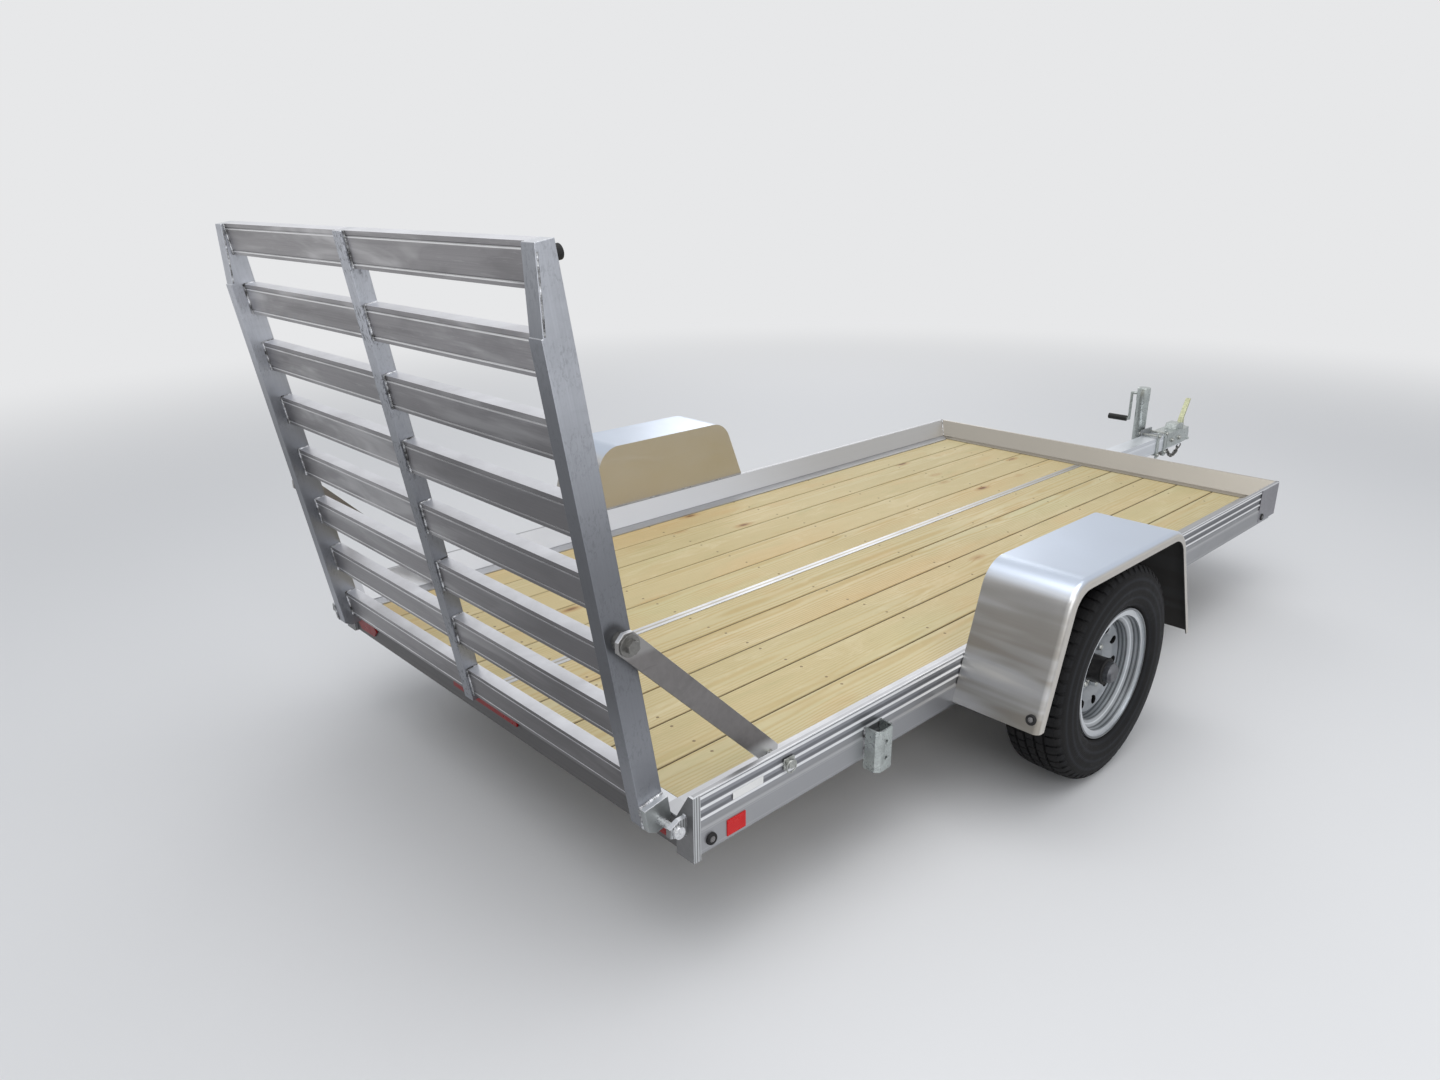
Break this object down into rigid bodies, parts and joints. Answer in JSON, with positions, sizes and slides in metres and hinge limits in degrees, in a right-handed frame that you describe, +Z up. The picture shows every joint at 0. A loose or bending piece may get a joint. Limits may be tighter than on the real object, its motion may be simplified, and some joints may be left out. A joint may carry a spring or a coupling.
{
  "type": "utility trailer",
  "caption": "Open single-axle utility trailer with a plank deck in low aluminium side rails, a slatted folding ramp gate at the rear, fenders, and a jack and ball coupler on the tongue.",
  "frame": {"origin": "on the ground, at the middle of the trailer's length and width", "axes": "+X to the trailer's right, +Y forward to the coupler, +Z up"},
  "size_m": [2.06, 4.3462, 1.4679],
  "materials": {
    "mill_aluminium": "mill finish extrusion, lightly oxidised",
    "sheet_aluminium": "bright rolled sheet with horizontal grain",
    "deck_wood": "pressure treated pine, bare",
    "galvanised_steel": "galvanised",
    "zinc_steel": "clear zinc plate",
    "yellow_zinc": "yellow zinc plate",
    "black_steel": "satin black paint",
    "tyre_rubber": "matt",
    "rim_silver": "silver paint",
    "hub_iron": "grey cast with bright nuts",
    "black_rubber": "matt",
    "grip_plastic": "satin",
    "red_lens": "clear red",
    "marker_lens": "dark smoked"
  },
  "bodies": {
    "frame": {"axle_brackets": "black_steel", "axle_tube": "black_steel", "brace_pull_pins": "galvanised_steel", "centre_strip": "mill_aluminium", "coupler": "zinc_steel", "coupler_latch": "yellow_zinc", "crossmembers": "mill_aluminium", "deck_boards_left": "deck_wood", "deck_boards_right": "deck_wood", "fender_backplate_left": "sheet_aluminium", "fender_backplate_right": "sheet_aluminium", "fender_left": "sheet_aluminium", "fender_right": "sheet_aluminium", "front_rail": "mill_aluminium", "hinge_ears": "mill_aluminium", "jack_crank": "galvanised_steel", "jack_grip": "grip_plastic", "jack_mount": "galvanised_steel", "jack_tube": "galvanised_steel", "marker_lamps": "marker_lens", "rail_end_cap_left": "mill_aluminium", "rail_end_cap_right": "mill_aluminium", "rail_left": "mill_aluminium", "rail_right": "mill_aluminium", "rear_lamps": "red_lens", "rear_sill": "mill_aluminium", "side_reflectors": "red_lens", "stake_pockets": "galvanised_steel", "tongue": "mill_aluminium", "tongue_gussets": "mill_aluminium", "torsion_arms": "black_steel"},
    "wheel_left": {"tyre_left": "tyre_rubber", "rim_left": "rim_silver", "hub_left": "hub_iron"},
    "wheel_right": {"tyre_right": "tyre_rubber", "rim_right": "rim_silver", "hub_right": "hub_iron"},
    "gate": {"gate_upright_left": "mill_aluminium", "gate_upright_middle": "mill_aluminium", "gate_upright_right": "mill_aluminium", "gate_slats": "mill_aluminium", "gate_hinge_blocks": "mill_aluminium", "gate_hinge_pins": "galvanised_steel", "gate_brace_bolts": "galvanised_steel", "gate_bumpers": "black_rubber"},
    "brace_left": {"brace_left": "mill_aluminium"},
    "brace_right": {"brace_right": "mill_aluminium"},
    "jack_leg": {"jack_inner_tube": "galvanised_steel", "jack_foot": "galvanised_steel"}
  },
  "joints": [
    {"name": "wheel_left_spin", "type": "hinge", "parent": "frame", "child": "wheel_left", "pos_m": [-0.93, -0.6387, 0.305], "axis": [1, 0, 0], "continuous": true},
    {"name": "wheel_right_spin", "type": "hinge", "parent": "frame", "child": "wheel_right", "pos_m": [0.93, -0.6387, 0.305], "axis": [1, 0, 0], "continuous": true},
    {"name": "gate_fold", "type": "hinge", "parent": "frame", "child": "gate", "pos_m": [0, -1.9817, 0.362], "axis": [1, 0, 0], "range_deg": [0, 98.5]},
    {"name": "brace_left_fold", "type": "hinge", "parent": "gate", "child": "brace_left", "pos_m": [-0.73, -2.04969, 0.76835], "axis": [1, 0, 0], "range_deg": [0, 143]},
    {"name": "brace_right_fold", "type": "hinge", "parent": "gate", "child": "brace_right", "pos_m": [0.73, -2.04969, 0.76835], "axis": [1, 0, 0], "range_deg": [0, 143]},
    {"name": "jack_slide", "type": "slide", "parent": "frame", "child": "jack_leg", "axis": [0, 0, 1], "range_m": [0, 0.2]}
  ]
}
